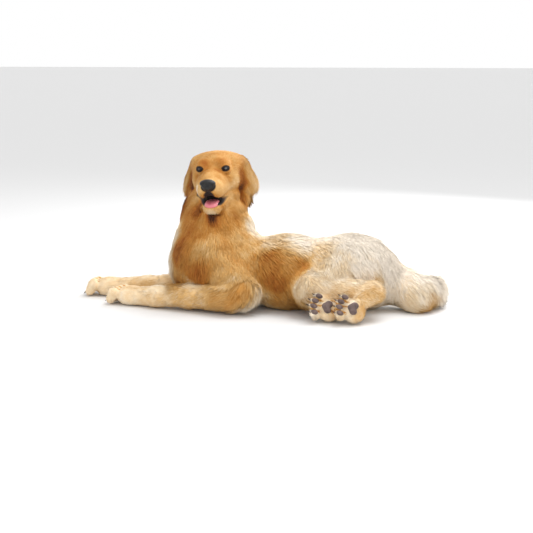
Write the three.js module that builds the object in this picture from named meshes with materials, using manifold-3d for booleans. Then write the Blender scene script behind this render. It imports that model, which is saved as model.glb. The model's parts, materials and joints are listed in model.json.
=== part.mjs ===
// A golden retriever lying on the floor, life size, in millimetres. +Z is up, the spine runs along X with
// the tail at +X, and the dog's left side, to which the head and both hind feet are turned, faces -Y.
//
// The dog is first modelled whole, as signed distance fields: a skeleton of named points carries rods and
// eggs as thick as the body with its coat on, and neighbours are blended into each other. The whole is
// then parted along the limbs and across the trunk, with a thin gap at every cut.
import * as THREE from "three";
import { mergeVertices } from "three/addons/utils/BufferGeometryUtils.js";
import Module from "manifold-3d";

const wasm = await Module();
wasm.setup();

const v = (x, y, z) => new THREE.Vector3(x, y, z);
const rad = THREE.MathUtils.degToRad;

// ---------------------------------------------------------------------------------------------------
// Driving dimensions
// ---------------------------------------------------------------------------------------------------

const GAP = 0.6; // between neighbouring solids
const SOFT_GAP = 2.2; // round an ear, the jaw, the nose and the tongue, whose room has few faces
const SNAP = 0.02; // corners closer than this are one corner
const TRUNK_R = 93; // half the depth of the coated ribcage
const LOIN_R = 90;
const RUMP_R = 88;
const NECK_R = 76;
const FOREARM_R = 34;
const PAW_R = 27;
const TOE_R = 12;
const TOE_SPREAD = 16.5; // centre to centre of neighbouring toes
const HIND_PAW = 0.82; // a hind paw's size beside a fore paw's
const CLAW_LENGTH = 12;
const CLAW_R = 3.4;
const EYE_R = 12.5;
const EYE_SPACING = 58;
const EYE_HEIGHT = 4.5; // above the middle of the skull
const NOSE_WIDTH = 40;
const EAR_LENGTH = 118;
const EAR_WIDTH = 66;
const EAR_FLARE = { right: 0, left: 3 }; // how far the middle of the ear stands out

// How the head is carried: the way the nose points, seen from above, and its nod and tilt
const HEAD_YAW = -76.5;
const HEAD_PITCH = 2;
const HEAD_TILT = 2.5;
const HEAD_CENTRE = v(-90.5, -47, 338);

// Grid cells that the surfaces are drawn with
const CELL = { trunk: 37, limb: 26, paw: 17.5, tail: 29, head: 18, jaw: 14, ear: 14, nose: 8.5 };

// The skeleton: joints and landmarks of the lying dog
const SPINE = {
  breast: v(-104, -76, 100),
  ribs: v(95, -40, 89),
  loin: v(228, -4, 90),
  rump: v(275, 16, 86),
  tailRoot: v(345, 50, 62),
};
const NECK = {
  base: v(-76, -56, 150),
  middle: v(-98, -48, 224),
  top: v(-101, -34, 286),
};
const FORELEGS = {
  left: {
    shoulder: v(-82, -122, 124),
    elbow: v(28, -164, 56),
    forearm: v(0, -172, 46),
    wrist: v(-200, -172, 29),
    paw: v(-290, -160, 21),
  },
  right: {
    shoulder: v(-106, -14, 120),
    elbow: v(-28, 58, 54),
    forearm: v(-70, 42, 44),
    wrist: v(-286, -60, 29),
    paw: v(-398, -82, 21),
  },
};
const HINDLEGS = {
  left: {
    hip: v(256, -30, 112),
    knee: v(190, -116, 66),
    hock: v(336, -102, 66),
    paw: v(302, -166, 34),
    toes: v(-0.72, -0.3, 0.3),
  },
  right: {
    hip: v(262, 30, 62),
    knee: v(186, -58, 44),
    hock: v(286, -80, 36),
    paw: v(240, -166, 32),
    toes: v(-0.78, -0.3, 0.28),
  },
};
const SOLES_FACE = v(0.3, -0.8, 0.5); // the hips have rolled over, so the hind soles show
const TAIL = {
  root: v(345, 46, 62),
  middle: v(396, 36, 46),
  end: v(432, 82, 44),
};

// ---------------------------------------------------------------------------------------------------
// Distance fields: each is a function of a point, negative inside
// ---------------------------------------------------------------------------------------------------

// A rod with round ends whose radius runs from ra at a to rb at b
function rod(a, b, ra, rb) {
  const along = b.clone().sub(a);
  const length2 = along.lengthSq();
  const at = v(0, 0, 0);
  return (p) => {
    at.copy(p).sub(a);
    const t = THREE.MathUtils.clamp(at.dot(along) / length2, 0, 1);
    return at.addScaledVector(along, -t).length() - ra - (rb - ra) * t;
  };
}

// An ellipsoid with its half sizes along three axes of a turned frame
function egg(centre, half, turn = new THREE.Quaternion()) {
  const back = turn.clone().invert();
  const at = v(0, 0, 0);
  return (p) => {
    at.copy(p).sub(centre).applyQuaternion(back).divide(half);
    const far = at.length();
    const steep = at.divide(half).length();
    return steep < 1e-9 ? -half.x : (far * (far - 1)) / steep;
  };
}

// The union of fields, with a fillet about k deep where they meet
function blend(k, ...fields) {
  return (p) => {
    let d = fields[0](p);
    for (let i = 1; i < fields.length; i++) {
      const e = fields[i](p);
      const h = Math.max(k - Math.abs(d - e), 0);
      d = Math.min(d, e) - (h * h) / (4 * k);
    }
    return d;
  };
}

// A field with another taken away, with a rounded rim
const without = (k, field, hole) => (p) => -blend(k, (q) => -field(q), hole)(p);

const grown = (field, by) => (p) => field(p) - by;

// ---------------------------------------------------------------------------------------------------
// Surfaces and solids
// ---------------------------------------------------------------------------------------------------

const CORNERS = [0, 1, 2, 3, 4, 5, 6, 7].map((i) => [i & 1, (i >> 1) & 1, i >> 2]);
const EDGES = [];
for (let a = 0; a < 8; a++)
  for (const bit of [1, 2, 4]) if (!(a & bit)) EDGES.push([a, a | bit]);

// Moves a point onto the surface, down the field's slope
function settle(point, field) {
  const step = 0.5;
  const slope = v(0, 0, 0);
  for (let round = 0; round < 3; round++) {
    const here = field(point);
    for (const axis of ["x", "y", "z"]) {
      const probe = point.clone();
      probe[axis] += step;
      slope[axis] = (field(probe) - here) / step;
    }
    point.addScaledVector(slope, -here / Math.max(slope.lengthSq(), 0.05));
  }
}

// The closed surface where a field is zero, inside a box: one point in each grid cell that the surface
// crosses, and one quad round each grid edge that it crosses
function surface(field, cell, box) {
  const low = box.min.clone().subScalar(1.5 * cell);
  const count = box.max.clone().sub(low).divideScalar(cell).ceil().addScalar(2);
  const [nx, ny, nz] = count.toArray();
  const index = (i, j, k) => i + nx * (j + ny * k);
  const values = new Float64Array(nx * ny * nz);
  const at = v(0, 0, 0);
  for (let k = 0; k < nz; k++)
    for (let j = 0; j < ny; j++)
      for (let i = 0; i < nx; i++) {
        at.set(i, j, k).multiplyScalar(cell).add(low);
        values[index(i, j, k)] = field(at);
      }
  const places = [];
  const pointOf = new Int32Array(values.length).fill(-1);
  for (let k = 0; k < nz - 1; k++)
    for (let j = 0; j < ny - 1; j++)
      for (let i = 0; i < nx - 1; i++) {
        const sum = v(0, 0, 0);
        let crossings = 0;
        for (const [a, b] of EDGES) {
          const [ca, cb] = [CORNERS[a], CORNERS[b]];
          const da = values[index(i + ca[0], j + ca[1], k + ca[2])];
          const db = values[index(i + cb[0], j + cb[1], k + cb[2])];
          if (da < 0 === db < 0) continue;
          const t = da / (da - db);
          sum.add(v(...ca).lerp(v(...cb), t));
          crossings += 1;
        }
        if (!crossings) continue;
        const point = sum.divideScalar(crossings).add(v(i, j, k));
        point.multiplyScalar(cell).add(low);
        const cellLow = v(i, j, k).multiplyScalar(cell).add(low);
        settle(point, field);
        point.clamp(cellLow.clone().addScalar(0.05 * cell), cellLow.clone().addScalar(0.95 * cell));
        pointOf[index(i, j, k)] = places.length / 3;
        places.push(point.x, point.y, point.z);
      }
  const triangles = [];
  const steps = [1, nx, nx * ny];
  for (let k = 1; k < nz - 1; k++)
    for (let j = 1; j < ny - 1; j++)
      for (let i = 1; i < nx - 1; i++)
        for (let axis = 0; axis < 3; axis++) {
          const here = index(i, j, k);
          const inside = values[here] < 0;
          if (inside === values[here + steps[axis]] < 0) continue;
          const [s, t] = [steps[(axis + 1) % 3], steps[(axis + 2) % 3]];
          const round = [here - s - t, here - t, here, here - s].map((n) => pointOf[n]);
          if (!inside) round.reverse();
          const [a, b, c, d] = round;
          triangles.push(a, b, c, a, c, d);
        }
  const geometry = new THREE.BufferGeometry();
  geometry.setAttribute("position", new THREE.Float32BufferAttribute(places, 3));
  geometry.setIndex(triangles);
  return geometry;
}

function bareCopy(geometry) {
  const bare = geometry.clone();
  bare.deleteAttribute("normal");
  bare.deleteAttribute("uv");
  return bare;
}

// A closed geometry as a solid that can be joined and cut
function solidOf(geometry) {
  const merged = mergeVertices(bareCopy(geometry), 1e-3);
  const mesh = new wasm.Mesh({
    numProp: 3,
    vertProperties: new Float32Array(merged.getAttribute("position").array),
    triVerts: new Uint32Array(merged.index.array),
  });
  return new wasm.Manifold(mesh);
}

// The largest connected piece of an indexed mesh, because a cut can shave off a crumb
function largestPiece(triangles, cornerCount) {
  const linkTo = Array.from({ length: cornerCount }, (_, i) => i);
  const rootOf = (i) => {
    while (linkTo[i] !== i) i = linkTo[i] = linkTo[linkTo[i]];
    return i;
  };
  for (let i = 0; i < triangles.length; i += 3) {
    linkTo[rootOf(triangles[i])] = rootOf(triangles[i + 1]);
    linkTo[rootOf(triangles[i + 1])] = rootOf(triangles[i + 2]);
  }
  const pieces = new Map();
  for (let i = 0; i < triangles.length; i += 3) {
    const root = rootOf(triangles[i]);
    if (!pieces.has(root)) pieces.set(root, []);
    pieces.get(root).push(...triangles.subarray(i, i + 3));
  }
  return [...pieces.values()].sort((a, b) => b.length - a.length)[0];
}

// A solid as a geometry. Corners closer than SNAP are joined, so that cuts leave no slivers.
function geometryOf(solid) {
  const mesh = solid.getMesh();
  const places = new Float32Array(mesh.vertProperties);
  const rough = new THREE.BufferGeometry();
  rough.setAttribute("position", new THREE.BufferAttribute(places, 3));
  rough.setIndex(largestPiece(mesh.triVerts, places.length / 3));
  const merged = mergeVertices(rough, SNAP);
  const kept = [];
  for (let i = 0; i < merged.index.count; i += 3) {
    const [a, b, c] = merged.index.array.subarray(i, i + 3);
    if (a !== b && b !== c && c !== a) kept.push(a, b, c);
  }
  return merged.setIndex(kept);
}

// A field cut off at the sides of a box
function within(box, field) {
  const centre = box.getCenter(v(0, 0, 0));
  const half = box.getSize(v(0, 0, 0)).divideScalar(2);
  const at = v(0, 0, 0);
  return (p) => {
    at.copy(p).sub(centre);
    const beyond = [0, 1, 2].map((i) => Math.abs(at.getComponent(i)) - half.getComponent(i));
    return Math.max(field(p), ...beyond);
  };
}

// The solid inside a field and a box. A grid can pinch a thin surface, and a finer one then serves.
function filled(field, cell, box, tries = 6) {
  try {
    return solidOf(surface(within(box, field), cell, box));
  } catch (error) {
    if (tries === 0) throw error;
    return filled(field, cell * 0.96, box, tries - 1);
  }
}

// All that lies ahead of a plane, less half the gap
function ahead(point, normal) {
  const size = 3000;
  const way = normal.clone().normalize();
  const block = new THREE.BoxGeometry(size, size, size);
  const turn = new THREE.Quaternion().setFromUnitVectors(v(0, 0, 1), way);
  const centre = point.clone().addScaledVector(way, size / 2 + GAP / 2);
  block.applyMatrix4(new THREE.Matrix4().compose(centre, turn, v(1, 1, 1)));
  return solidOf(block);
}

const FLOOR = ahead(v(0, 0, -GAP / 2), v(0, 0, 1));

// The box round a set of points
function boxRound(points, reach) {
  return new THREE.Box3().setFromPoints(points).expandByScalar(reach);
}

// ---------------------------------------------------------------------------------------------------
// The trunk and neck
// ---------------------------------------------------------------------------------------------------

const trunkField = blend(
  46,
  rod(SPINE.breast, SPINE.ribs, TRUNK_R - 8, TRUNK_R),
  rod(SPINE.ribs, SPINE.loin, TRUNK_R, LOIN_R),
  rod(SPINE.loin, SPINE.rump, LOIN_R, RUMP_R),
  rod(SPINE.rump, SPINE.tailRoot, RUMP_R, 48),
  egg(v(-108, -86, 104), v(80, 90, 116)), // the ruff over the breastbone
);
const neckField = blend(
  40,
  rod(NECK.base, NECK.middle, TRUNK_R - 2, NECK_R + 8),
  rod(NECK.middle, NECK.top, NECK_R + 8, NECK_R - 8),
);
const torsoField = blend(50, trunkField, neckField);

// ---------------------------------------------------------------------------------------------------
// The legs
// ---------------------------------------------------------------------------------------------------

// The frame of a paw: forward to the toe tips, sideways across the toes, and away from the pads
function pawFrame(forward, back, size) {
  const ahead = forward.clone().normalize();
  const away = back.clone().addScaledVector(ahead, -back.dot(ahead)).normalize();
  const across = new THREE.Vector3().crossVectors(away, ahead);
  const point = (centre, f, s, u) =>
    centre
      .clone()
      .addScaledVector(ahead, f * size)
      .addScaledVector(across, s * size)
      .addScaledVector(away, u * size);
  const turn = new THREE.Quaternion().setFromRotationMatrix(
    new THREE.Matrix4().makeBasis(ahead, across, away),
  );
  return { ahead, across, away, point, turn, size };
}

const TOES = [-1.5, -0.5, 0.5, 1.5]; // across the paw, in toe spreads
const toeReach = (toe) => 43 - 7 * Math.abs(toe); // the middle toes stand furthest forward

// The knuckle and tip of one toe
function toeLine(centre, frame, toe) {
  const reach = toeReach(toe);
  return {
    knuckle: frame.point(centre, reach - 28, toe * TOE_SPREAD * 0.9, 7),
    tip: frame.point(centre, reach - 1, toe * TOE_SPREAD, -7),
  };
}

function pawField(centre, frame) {
  const toes = TOES.map((toe) => {
    const { knuckle, tip } = toeLine(centre, frame, toe);
    return rod(knuckle, tip, (TOE_R + 4) * frame.size, (TOE_R + 1.5) * frame.size);
  });
  return blend(
    10,
    egg(frame.point(centre, -10, 0, 2), v(36, 35, PAW_R - 1).multiplyScalar(frame.size), frame.turn),
    ...toes,
  );
}

// The bare pads under a hind paw, which face the camera side: four toe pads and the large heel pad
function padSpots(centre, frame) {
  const spots = TOES.map((toe) => {
    const middle = frame.point(centre, toeReach(toe) - 2, toe * TOE_SPREAD, -TOE_R - 7);
    return { middle, half: v(12.5, 7.6, 6).multiplyScalar(frame.size) };
  });
  const heel = frame.point(centre, 2, 0, -PAW_R + 1);
  spots.push({ middle: heel, half: v(15, 22, 7).multiplyScalar(frame.size) });
  return spots;
}

function foreleg({ shoulder, elbow, forearm, wrist, paw }) {
  const up = v(0, 0, 1);
  const frame = pawFrame(v(1, 1, 0).multiply(paw.clone().sub(wrist)), up, 1);
  const halfway = forearm.clone().lerp(wrist, 0.55);
  return {
    frame,
    paw,
    parts: {
      upper_arm: rod(shoulder, elbow, 62, 50),
      forearm: blend(
        14,
        rod(forearm, halfway, FOREARM_R + 10, FOREARM_R - 1),
        rod(halfway, wrist, FOREARM_R - 1, FOREARM_R - 5),
        rod(wrist, paw, FOREARM_R - 5, FOREARM_R - 8),
      ),
      paw: pawField(paw, frame),
    },
  };
}

function hindleg({ hip, knee, hock, paw, toes }, sizes) {
  const frame = pawFrame(toes, SOLES_FACE.clone().negate(), HIND_PAW);
  return {
    frame,
    paw,
    parts: {
      thigh: rod(hip, knee, sizes.hip, sizes.knee),
      shank: rod(knee, hock, sizes.shank, sizes.hock),
      foot: blend(12, rod(hock, paw, sizes.hock - 2, PAW_R - 7), pawField(paw, frame)),
    },
  };
}

const LEGS = {
  left_fore: foreleg(FORELEGS.left),
  right_fore: foreleg(FORELEGS.right),
  left_hind: hindleg(HINDLEGS.left, { hip: 80, knee: 58, shank: 44, hock: 30 }),
  right_hind: hindleg(HINDLEGS.right, { hip: 58, knee: 42, shank: 32, hock: 24 }),
};

// ---------------------------------------------------------------------------------------------------
// The tail: a brush that lies on the floor, deepest in the middle
// ---------------------------------------------------------------------------------------------------

const tailField = blend(
  30,
  rod(TAIL.root, TAIL.middle, 48, 48),
  rod(TAIL.middle, TAIL.end, 48, 42),
);

// ---------------------------------------------------------------------------------------------------
// The head, in a frame of its own: x to the nose, y to the dog's left, z up, from the skull's centre
// ---------------------------------------------------------------------------------------------------

const headTurn = new THREE.Quaternion().setFromEuler(
  new THREE.Euler(rad(HEAD_TILT), rad(-HEAD_PITCH), rad(HEAD_YAW), "ZYX"),
);
const onHead = (x, y, z) => v(x, y, z).applyQuaternion(headTurn).add(HEAD_CENTRE);
const headEgg = (x, y, z, a, b, c, pitch = 0, yaw = 0) => {
  const own = new THREE.Quaternion().setFromEuler(new THREE.Euler(0, rad(pitch), rad(yaw), "ZYX"));
  return egg(onHead(x, y, z), v(a, b, c), headTurn.clone().multiply(own));
};
const headRod = (a, b, ra, rb) => rod(onHead(...a), onHead(...b), ra, rb);
const bothSides = (make) => [-1, 1].map(make);

const skullField = blend(
  14,
  headEgg(-4, 0, 0, 66, 60, 50),
  ...bothSides((s) => headEgg(12, s * 35, -24, 44, 27, 36)), // cheeks
  ...bothSides((s) => headEgg(44, s * 24, 19, 16, 18, 12)), // brows
  headEgg(62, 0, -15, 40, 25, 23, 8), // bridge of the muzzle
  headEgg(94, 0, -34, 38, 27, 20, 4), // muzzle
  ...bothSides((s) => headEgg(94, s * 17, -44, 35, 18, 20, 4, -s * 6)), // flews
);
const mouthField = blend(
  6,
  headEgg(92, 0, -72, 42, 22, 9, 12),
  ...bothSides((s) => headRod([88, s * 22, -71], [46, s * 37, -54], 8, 3)),
);
const jawField = without(
  4,
  blend(
    12,
    headRod([14, 0, -62], [62, 0, -80], 32, 24),
    headRod([62, 8, -80], [94, 7, -89], 19, 14),
    headRod([62, -8, -80], [94, -7, -89], 19, 14),
  ),
  mouthField,
);

const eyeCentres = bothSides((s) => onHead(50, (s * EYE_SPACING) / 2, EYE_HEIGHT));
const noseField = without(
  3,
  blend(
    5,
    headEgg(130, 0, -26, 13, NOSE_WIDTH / 2, 11),
    headEgg(128, 0, -34, 12, NOSE_WIDTH / 2 - 6, 11),
  ),
  blend(1, ...bothSides((s) => headEgg(142, s * 9, -28, 7, 4.5, 4.5))),
);
const tongueField = headEgg(84, 0, -75, 40, 16, 5, 12);

// An ear: a flap that hangs from the side of the skull, bulges outwards and ends in a point
function earField(s) {
  const flare = s < 0 ? EAR_FLARE.right : EAR_FLARE.left;
  const root = onHead(-16, s * 58, 24);
  const bulge = onHead(-22, s * (74 + flare), 30 - 0.52 * EAR_LENGTH);
  const tip = onHead(-12, s * (70 + 0.6 * flare), 30 - EAR_LENGTH);
  const lobe = (a, b, t, long, wide, thick) => {
    const down = b.clone().sub(a).normalize();
    const out = onHead(0.5, s, 0).sub(HEAD_CENTRE);
    out.addScaledVector(down, -out.dot(down)).normalize();
    const across = new THREE.Vector3().crossVectors(out, down);
    const basis = new THREE.Matrix4().makeBasis(down, across, out);
    const turn = new THREE.Quaternion().setFromRotationMatrix(basis);
    return egg(a.clone().lerp(b, t), v(EAR_LENGTH * long, EAR_WIDTH * wide, thick), turn);
  };
  return blend(
    9,
    lobe(root, bulge, 0.34, 0.28, 0.4, 12),
    lobe(root, bulge, 0.95, 0.3, 0.48, 12),
    lobe(bulge, tip, 0.6, 0.27, 0.36, 10),
  );
}
const earFields = bothSides(earField);

// ---------------------------------------------------------------------------------------------------
// Parting the whole
// ---------------------------------------------------------------------------------------------------

const limbRoots = Object.values(LEGS).map((leg) => leg.parts.upper_arm ?? leg.parts.thigh);
const limbEnds = Object.values(LEGS).flatMap((leg) =>
  Object.entries(leg.parts)
    .filter(([name]) => !["upper_arm", "thigh"].includes(name))
    .map(([, field]) => field),
);
const bodyField = blend(
  10,
  blend(34, torsoField, ...limbRoots, tailField),
  ...limbEnds,
  skullField,
);

const dogBox = boxRound(
  [SPINE, NECK, FORELEGS.left, FORELEGS.right, HINDLEGS.left, HINDLEGS.right, TAIL]
    .flatMap((points) => Object.values(points))
    .concat(HEAD_CENTRE, onHead(140, 0, -40)),
  125,
);

const nodes = []; // { name, solid, look }
const taken = []; // room for what is parted off already

// Room for a geometry: the same with its faces moved out by the gap
function roomFor(geometry) {
  const roomy = mergeVertices(bareCopy(geometry), 1e-3);
  roomy.computeVertexNormals();
  const [places, normals] = [roomy.getAttribute("position"), roomy.getAttribute("normal")];
  for (let i = 0; i < places.count; i++) {
    const at = v(0, 0, 0).fromBufferAttribute(places, i);
    at.addScaledVector(v(0, 0, 0).fromBufferAttribute(normals, i), 1.5 * GAP);
    places.setXYZ(i, ...at.toArray());
  }
  return solidOf(roomy);
}

const clearOf = (solid, rooms) => rooms.reduce((left, room) => left.subtract(room), solid);

// A small piece as a whole geometry, with room for it in the flesh
function takePiece(name, look, geometry, room = roomFor(geometry)) {
  nodes.push({ name, look, solid: clearOf(solidOf(geometry), taken).intersect(FLOOR) });
  taken.push(room);
}

// The same for a piece that is given as a field
function takeField(name, look, field, cell, box) {
  const room = filled(grown(field, SOFT_GAP), cell, box.clone().expandByScalar(cell));
  takePiece(name, look, surface(field, cell, box), room);
  nodes.at(-1).soft = true;
}

// Where a piece's thin rim still reaches into the flesh, the flesh gets a small square notch
function notched(flesh, piece) {
  const common = flesh.intersect(piece);
  const places = common.getMesh().vertProperties;
  if (!places.length) return flesh;
  const reach = new THREE.Box3().setFromArray(places).expandByScalar(GAP);
  const size = reach.getSize(v(0, 0, 0)).toArray();
  const centre = reach.getCenter(v(0, 0, 0)).toArray();
  return flesh.subtract(solidOf(new THREE.BoxGeometry(...size).translate(...centre)));
}

// Takes the flesh inside a region, less what is taken already
function takeFlesh(name, cell, region) {
  region.computeBoundingBox();
  const reach = region.boundingBox.clone().intersect(dogBox).expandByScalar(2 * cell);
  const whole = filled(bodyField, cell, reach).intersect(solidOf(region));
  const clear = clearOf(whole, taken).intersect(FLOOR);
  const pieces = nodes.filter((node) => node.soft).map((node) => node.solid);
  nodes.push({ name, look: "coat", solid: pieces.reduce(notched, clear) });
  taken.push(roomFor(region));
}

// The frame of a limb from a to b
function limbBasis(a, b, up) {
  const x = b.clone().sub(a).normalize();
  const z = up.clone().addScaledVector(x, -up.dot(x)).normalize();
  return new THREE.Matrix4().makeBasis(x, new THREE.Vector3().crossVectors(z, x), z);
}

// A block along a limb from a to b, with its half width and half height and how far it reaches past each
function block(a, b, up, { wide, high, before = 0, after = 0 }) {
  const length = a.distanceTo(b) + before + after;
  const shape = new THREE.BoxGeometry(length, 2 * wide, 2 * high);
  const centre = b.clone().sub(a).setLength(length / 2 - before).add(a);
  return shape.applyMatrix4(limbBasis(a, b, up).setPosition(centre));
}

// A capsule along a limb from a to b
function capsule(a, b, radius) {
  const shape = new THREE.CapsuleGeometry(radius, a.distanceTo(b), 2, 8).rotateZ(Math.PI / 2);
  return shape.applyMatrix4(limbBasis(a, b, v(0.1, 0.2, 1)).setPosition(a.clone().lerp(b, 0.5)));
}

// --- small pieces
const BALL = new THREE.SphereGeometry(1, 7, 4);

function placed(geometry, frame, centre) {
  const basis = new THREE.Matrix4().makeBasis(frame.ahead, frame.across, frame.away);
  return geometry.clone().applyMatrix4(basis.setPosition(centre));
}

// A claw: a cone along x that bends down towards its point
function clawGeometry() {
  const cone = new THREE.CylinderGeometry(0.8, CLAW_R, CLAW_LENGTH, 5, 2);
  cone.rotateZ(-Math.PI / 2);
  const places = cone.getAttribute("position");
  for (let i = 0; i < places.count; i++) {
    const along = places.getX(i) / CLAW_LENGTH + 0.5;
    places.setZ(i, places.getZ(i) - 4.5 * along * along);
  }
  return cone;
}

for (const [leg, { frame, paw }] of Object.entries(LEGS)) {
  TOES.forEach((toe, i) => {
    const { tip } = toeLine(paw, frame, toe);
    const middle = frame.point(tip, TOE_R + CLAW_LENGTH / 2, toe, 2);
    takePiece(`${leg}_claw_${i + 1}`, "claw", placed(clawGeometry(), frame, middle));
  });
  if (leg.endsWith("fore")) continue;
  padSpots(paw, frame).forEach(({ middle, half }, i) => {
    const pad = BALL.clone().scale(...half.toArray());
    takePiece(`${leg}_pad_${i + 1}`, "pad", placed(pad, frame, middle));
  });
}

eyeCentres.forEach((centre, i) => {
  const ball = new THREE.SphereGeometry(EYE_R, 9, 6).translate(...centre.toArray());
  takePiece(["right_eye", "left_eye"][i], "eye", ball);
});
takeField("nose", "nose", noseField, CELL.nose, boxRound([onHead(128, 0, -29)], 28));
const mouthBox = boxRound([onHead(56, 0, -76)], 80);
takeField("tongue", "tongue", tongueField, 10, boxRound([onHead(84, 0, -75)], 50));
takeField("lower_jaw", "coat", jawField, CELL.jaw, mouthBox);
taken.splice(-2); // the tongue and jaw lie in one hollow of the head, with the mouth
const hollowField = blend(3, grown(jawField, SOFT_GAP), grown(tongueField, SOFT_GAP), mouthField);
taken.push(filled(hollowField, CELL.jaw, mouthBox.clone().expandByScalar(CELL.jaw)));
earFields.forEach((field, i) => {
  const box = boxRound([onHead(-8, (i ? 1 : -1) * 68, -24)], 80);
  takeField(`${["right", "left"][i]}_ear`, "coat", field, CELL.ear, box);
});

// --- flesh
const up = v(0, 0, 1);
const crown = onHead(0.25, 0, 1).sub(HEAD_CENTRE);
const skull = { wide: 110, high: 74, before: 60, after: 60 };
takeFlesh("head", CELL.head, block(onHead(-60, 0, 0), onHead(110, 0, 0), crown, skull));

for (const side of ["left", "right"]) {
  const { shoulder, elbow, forearm, wrist, paw } = FORELEGS[side];
  const pawSize = { wide: 52, high: 50, after: 80 };
  const paws = block(wrist.clone().lerp(paw, 0.3), paw, up, pawSize);
  takeFlesh(`${side}_fore_paw`, CELL.paw, paws);
  const forearmSize = { wide: 46, high: 44, after: 80 };
  takeFlesh(`${side}_forearm`, CELL.limb, block(forearm, wrist, up, forearmSize));
  takeFlesh(`${side}_upper_arm`, CELL.trunk, capsule(shoulder, elbow, 68));
}
for (const side of ["left", "right"]) {
  const { hock, paw } = HINDLEGS[side];
  const footSize = { wide: 50, high: 34, after: 80 };
  const ankle = hock.clone().lerp(paw, 0.35);
  const { away } = LEGS[`${side}_hind`].frame;
  takeFlesh(`${side}_hind_foot`, CELL.paw, block(ankle, paw, away, footSize));
}
for (const side of ["left", "right"]) {
  const { knee, hock } = HINDLEGS[side];
  takeFlesh(`${side}_shank`, CELL.limb, capsule(knee, hock, side === "left" ? 50 : 38));
}
takeFlesh("left_thigh", CELL.trunk, capsule(HINDLEGS.left.hip, HINDLEGS.left.knee, 88));

const lengths = { wide: 260, high: 180 };
const tailCut = block(v(372, 40, 30), v(440, 40, 8), up, { ...lengths, after: 60 });
takeFlesh("tail", CELL.tail, tailCut);
const neckCut = block(v(-80, -50, 186), v(-98, -44, 300), v(1, 0, 0), { wide: 150, high: 150 });
takeFlesh("neck", CELL.trunk, neckCut);
takeFlesh("rump", CELL.trunk, block(v(228, 0, 100), v(420, 16, 100), up, lengths));
takeFlesh("loin", CELL.trunk, block(v(92, -30, 100), v(270, -10, 100), up, lengths));
takeFlesh("chest", CELL.trunk, block(v(-300, -40, 100), v(130, -30, 100), up, lengths));

// ---------------------------------------------------------------------------------------------------
// The scene graph
// ---------------------------------------------------------------------------------------------------

const LOOKS = {
  coat: { color: 0xd39a55, roughness: 0.85, metalness: 0 },
  eye: { color: 0x1d120c, roughness: 0.08, metalness: 0 },
  nose: { color: 0x16130f, roughness: 0.35, metalness: 0 },
  tongue: { color: 0xd4737f, roughness: 0.4, metalness: 0 },
  pad: { color: 0x3b3030, roughness: 0.7, metalness: 0 },
  claw: { color: 0x4a3b2e, roughness: 0.4, metalness: 0 },
};

const dog = new THREE.Group();
for (const { name, solid, look } of nodes) {
  const material = new THREE.MeshStandardMaterial(LOOKS[look]);
  const mesh = new THREE.Mesh(geometryOf(solid), material);
  mesh.name = name;
  dog.add(mesh);
}

// The origin is on the floor, under the middle of the whole dog
const whole = new THREE.Box3().setFromObject(dog);
const middle = whole.getCenter(v(0, 0, 0));
dog.position.set(-middle.x, -middle.y, -whole.min.z);

export default dog;
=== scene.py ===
# %% [markdown]
# # A golden retriever, lying down
# A museum's life-size dog has one unbroken skin, glass eyes, and fur that follows the lie of a real
# coat. This lesson makes it in that order: the skin, the hard pieces, then the coat, tuft by tuft.
# The imported model comes first, as a fixed frame.

import json
import math

import bpy
import numpy as np
from mathutils import Matrix, Vector

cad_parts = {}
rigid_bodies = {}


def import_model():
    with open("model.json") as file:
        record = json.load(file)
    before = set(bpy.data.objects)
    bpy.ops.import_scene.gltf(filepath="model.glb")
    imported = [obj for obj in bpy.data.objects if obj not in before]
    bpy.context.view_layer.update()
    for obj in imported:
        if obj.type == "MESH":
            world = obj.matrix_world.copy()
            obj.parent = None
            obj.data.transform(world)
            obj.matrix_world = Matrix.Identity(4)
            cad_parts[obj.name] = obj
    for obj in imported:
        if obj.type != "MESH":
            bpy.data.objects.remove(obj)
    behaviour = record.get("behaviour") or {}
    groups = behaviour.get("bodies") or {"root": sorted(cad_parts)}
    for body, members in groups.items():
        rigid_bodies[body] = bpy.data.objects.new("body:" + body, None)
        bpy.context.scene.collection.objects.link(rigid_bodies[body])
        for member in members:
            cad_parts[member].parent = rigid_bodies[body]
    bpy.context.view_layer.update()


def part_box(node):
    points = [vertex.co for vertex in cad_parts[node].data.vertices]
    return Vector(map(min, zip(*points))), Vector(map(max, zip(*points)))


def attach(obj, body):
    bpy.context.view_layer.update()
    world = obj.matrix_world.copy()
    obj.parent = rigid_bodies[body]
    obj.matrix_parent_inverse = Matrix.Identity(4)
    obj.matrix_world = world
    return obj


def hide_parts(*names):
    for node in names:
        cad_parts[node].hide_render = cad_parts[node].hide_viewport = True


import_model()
nodes = sorted(o.name for o in bpy.data.objects if o.type == "MESH")

# %% [markdown]
# The dog's measures are easiest to give in millimetres on two frames: the body's, which lies on
# the floor, and the head's, which is turned, with x to the nose and y to the dog's left. A fitter
# would mark landmarks on the body in the same way. The frame's own left eye tells how far the two
# origins lie apart.

# %% Two frames of measure
EYE_R, EYE_SPACING, EYE_HEIGHT = 12.5, 58.0, 4.5
HEAD_YAW, HEAD_PITCH, HEAD_TILT = -76.5, 2.0, 2.5
HEAD_CENTRE = np.array([-90.5, -47.0, 338.0])


def axes(yaw, pitch, tilt=0.0):
    """The turn whose columns are forward, left and up, angles in degrees."""
    turn = Matrix.Rotation(math.radians(yaw), 3, "Z")
    turn = turn @ Matrix.Rotation(math.radians(-pitch), 3, "Y")
    return np.array(turn @ Matrix.Rotation(math.radians(tilt), 3, "X"))


HEAD_TURN = axes(HEAD_YAW, HEAD_PITCH, HEAD_TILT)


def on_head(x, y, z):
    return HEAD_TURN @ np.array([x, y, z], float) + HEAD_CENTRE


def head_way(x, y, z):
    return HEAD_TURN @ np.array([x, y, z], float)


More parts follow.
